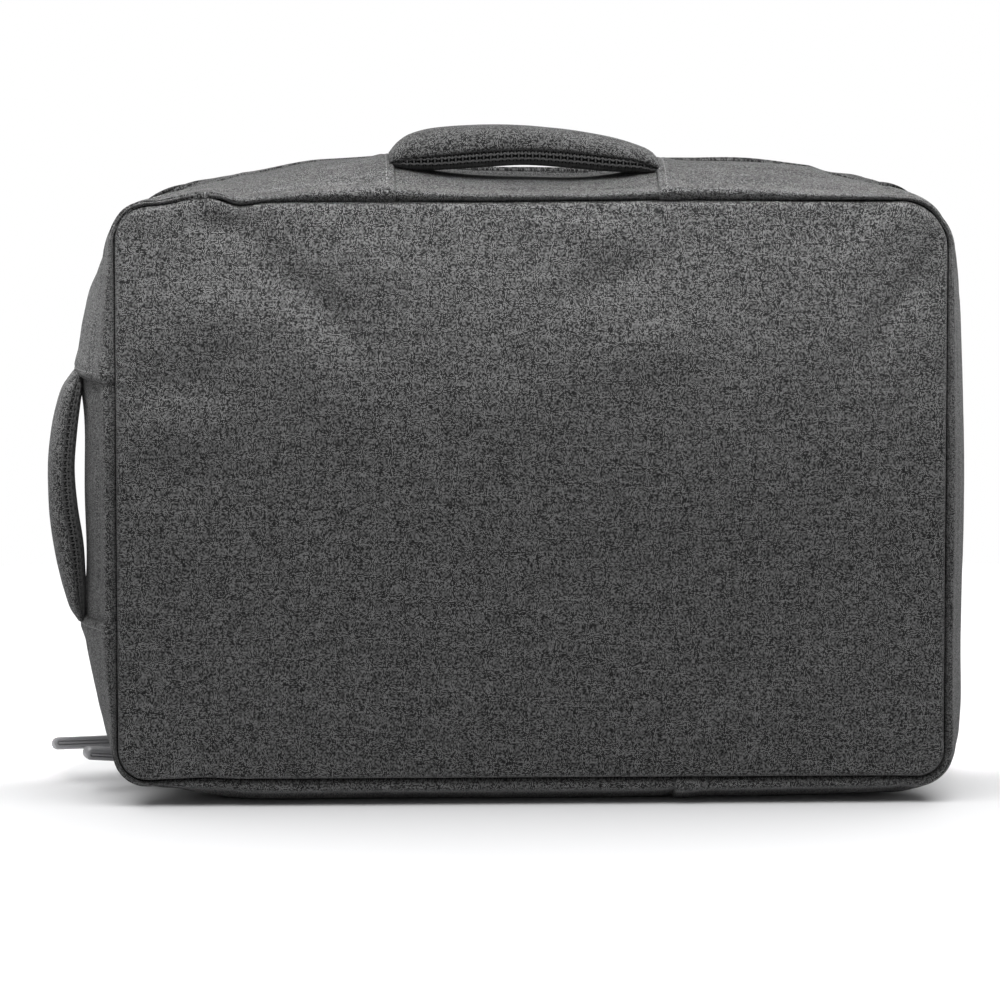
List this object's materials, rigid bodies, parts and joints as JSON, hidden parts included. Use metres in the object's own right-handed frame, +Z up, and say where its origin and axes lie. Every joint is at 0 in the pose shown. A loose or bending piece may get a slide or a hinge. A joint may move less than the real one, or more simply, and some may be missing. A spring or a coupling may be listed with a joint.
{
  "type": "convertible backpack",
  "caption": "Soft padded laptop bag that turns into a backpack, closed and standing on its long side, with carrying handles and zips round the gusset.",
  "frame": {"origin": "on the surface that the bag stands on, under the middle of the body", "axes": "+X along the bag's long side, to the right as seen from the worn back panel; +Y from the worn back panel to the front panel; +Z up"},
  "size_m": [0.4812, 0.1534, 0.3515],
  "materials": {
    "melange_cloth": "woven two-tone grey polyester, matt",
    "spacer_mesh": "open-celled spacer mesh, matt",
    "zip_tape": "woven tape, matt",
    "zip_coil": "nylon coil",
    "zip_metal": "dark plated, satin",
    "pull_rubber": "moulded, satin"
  },
  "bodies": {
    "bag": {"back_panel": "melange_cloth", "front_panel": "melange_cloth", "rear_gusset_top_bay": "melange_cloth", "rear_gusset_right": "melange_cloth", "rear_gusset_lower_left": "melange_cloth", "rear_gusset_side_bay": "melange_cloth", "rear_gusset_upper_left": "melange_cloth", "middle_gusset": "melange_cloth", "front_gusset": "melange_cloth", "bottom_gusset": "melange_cloth", "main_zip_tape": "zip_tape", "main_zip_coil": "zip_coil", "main_zip_slider": "zip_metal", "front_zip_tape": "zip_tape", "front_zip_coil": "zip_coil", "front_zip_slider": "zip_metal", "top_handle_cover": "melange_cloth", "top_handle_mesh": "spacer_mesh", "side_handle_cover": "melange_cloth", "side_handle_mesh": "spacer_mesh"},
    "main_pull": {"main_zip_pull_link": "zip_metal", "main_zip_pull_grip": "pull_rubber"},
    "front_pull": {"front_zip_pull_link": "zip_metal", "front_zip_pull_grip": "pull_rubber"}
  },
  "joints": [
    {"name": "main_pull_swing", "type": "hinge", "parent": "bag", "child": "main_pull", "pos_m": [-0.19723, 0.01013, 0.0151], "axis": [-0.3656, 0.9254, 0.0999], "range_deg": [-10, 30]},
    {"name": "front_pull_swing", "type": "hinge", "parent": "bag", "child": "front_pull", "pos_m": [-0.213, 0.03756, 0.01912], "axis": [-0.2118, 0.9574, -0.1963], "range_deg": [-12, 35]}
  ]
}
